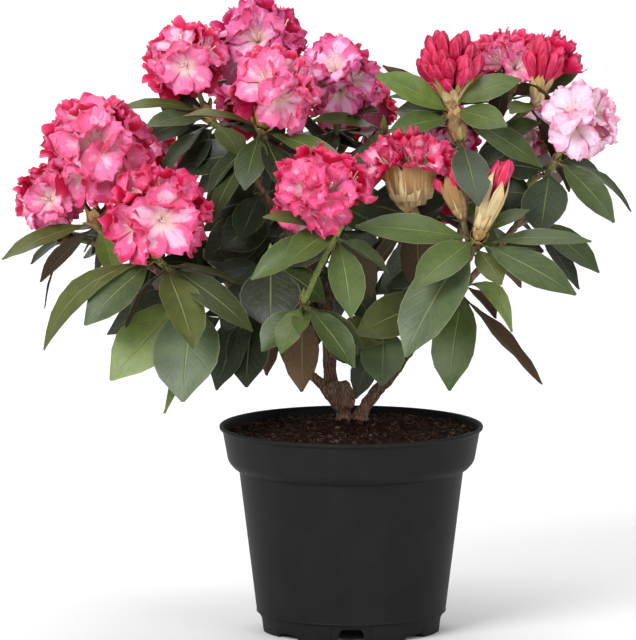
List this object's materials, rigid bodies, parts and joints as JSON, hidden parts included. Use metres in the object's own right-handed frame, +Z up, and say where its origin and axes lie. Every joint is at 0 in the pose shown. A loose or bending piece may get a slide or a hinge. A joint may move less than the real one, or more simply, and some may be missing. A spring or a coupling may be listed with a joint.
{
  "type": "potted rhododendron",
  "caption": "Flowering shrub with leathery leaf whorls and domed pink trusses on bare forked stems, standing in a round black plastic nursery pot filled with peat.",
  "frame": {"origin": "centre of the pot's flat underside", "axes": "+Z up through the pot's axis, -Y towards the plant's front, +X to its right"},
  "size_m": [0.545, 0.4177, 0.5561],
  "materials": {
    "pot": "satin moulded plastic, near black",
    "soil": "crumbly moist peat",
    "bark": "rough reddish brown bark",
    "foliage": "satin leathery leaves with pink flowers"
  },
  "bodies": {
    "root": {"pot": "pot", "soil": "soil", "trunk_left": "bark", "trunk_right": "bark", "bough_middle": "bark", "bough_left": "bark", "bough_left_far": "bark", "bough_back_left": "bark", "bough_top": "bark", "bough_top_left": "bark", "bough_front": "bark", "bough_back": "bark", "bough_right": "bark", "bough_right_up": "bark", "bough_right_far": "bark", "bough_right_front": "bark", "bough_back_right": "bark", "foliage_left_upper": "foliage", "foliage_left_lower": "foliage", "foliage_low_left": "foliage", "foliage_top_left": "foliage", "foliage_top": "foliage", "foliage_top_right": "foliage", "foliage_front": "foliage", "foliage_centre": "foliage", "foliage_right_front": "foliage", "foliage_bud_left": "foliage", "foliage_bud_right": "foliage", "foliage_right": "foliage", "foliage_right_low": "foliage", "foliage_low_centre": "foliage", "foliage_back_left": "foliage", "foliage_back": "foliage", "foliage_back_right": "foliage"}
  },
  "joints": []
}
